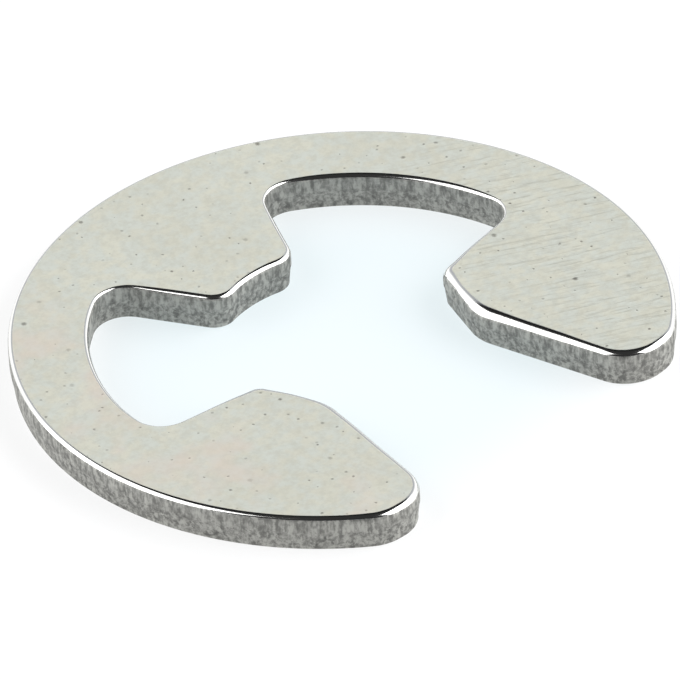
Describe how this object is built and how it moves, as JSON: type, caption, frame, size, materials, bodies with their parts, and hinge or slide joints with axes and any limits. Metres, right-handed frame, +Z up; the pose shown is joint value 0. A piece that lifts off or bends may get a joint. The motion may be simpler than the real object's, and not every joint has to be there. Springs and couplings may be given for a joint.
{
  "type": "e clip",
  "caption": "Flat blanked spring steel retaining clip that snaps sideways into a groove on a shaft.",
  "frame": {"origin": "centre of the groove seat, on the flat underside that the clip lies on", "axes": "+Z up through the thickness along the shaft's axis, +Y along the line of symmetry towards the middle prong, with the mouth open along -Y"},
  "size_m": [0.0134, 0.0121, 0.0008],
  "materials": {
    "spring_steel": "satin, tumbled after blanking"
  },
  "bodies": {
    "root": {"e_clip": "spring_steel"}
  },
  "joints": []
}
